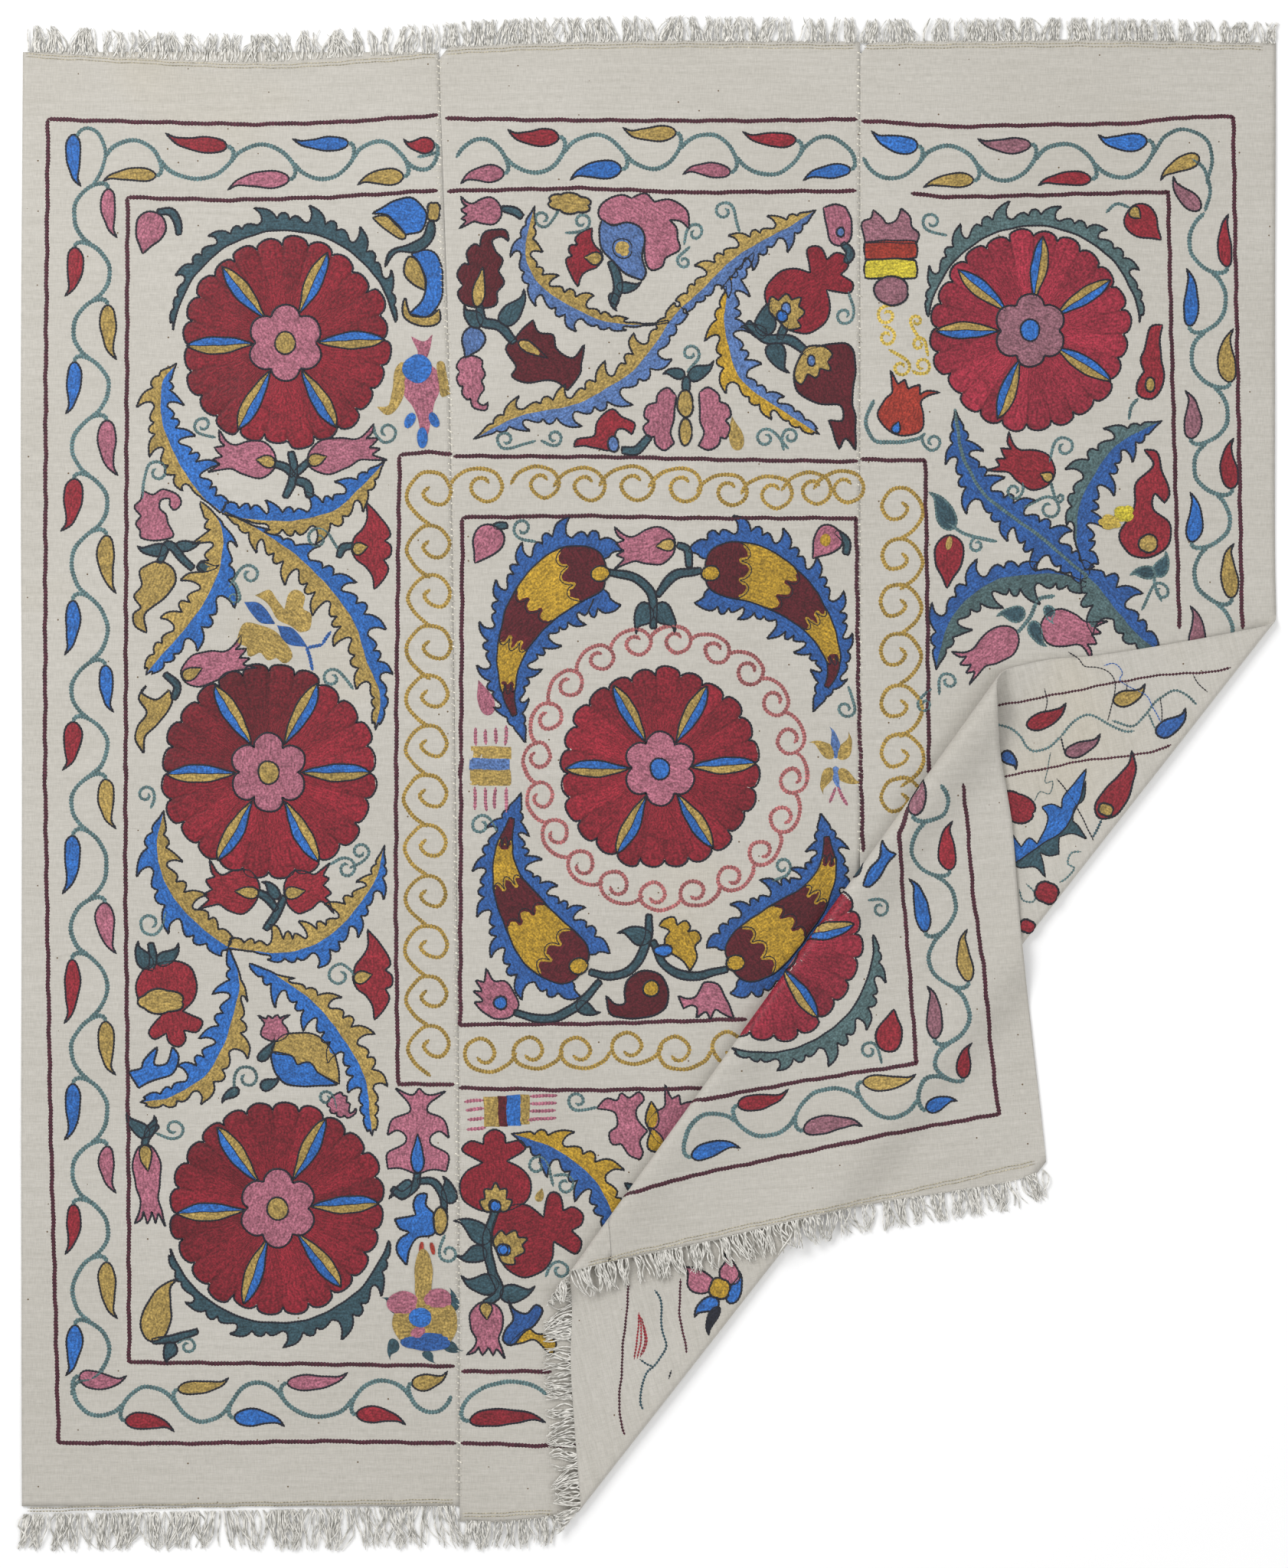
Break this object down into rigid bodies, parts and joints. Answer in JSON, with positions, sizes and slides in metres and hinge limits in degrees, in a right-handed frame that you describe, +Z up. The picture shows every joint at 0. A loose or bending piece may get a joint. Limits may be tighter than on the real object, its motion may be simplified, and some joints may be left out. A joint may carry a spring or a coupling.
{
  "type": "suzani embroidered textile, laid flat with one corner folded over and back",
  "caption": "Embroidered hanging of sewn loom-width panels with fringed ends, lying face up with one lower corner folded over and back again.",
  "frame": {"origin": "on the surface it lies on, under the middle of the cloth as it lies", "axes": "+X towards the right selvedge, +Y towards the top fringe, +Z up out of the embroidered face"},
  "size_m": [1.4749, 1.8087, 0.0315],
  "materials": {
    "cloth": "matt hand-woven cotton, cream",
    "fringe": "matt loose cotton warp ends, cream",
    "silk": "silk chain stitch with a soft sheen, many colours"
  },
  "bodies": {
    "root": {"panel_left": "cloth", "panel_middle": "cloth", "panel_right": "cloth", "fringe_top_left": "fringe", "fringe_top_middle": "fringe", "fringe_top_right": "fringe", "fringe_bottom_left": "fringe", "fringe_bottom_middle": "fringe", "fringe_bottom_right": "fringe"}
  },
  "joints": []
}
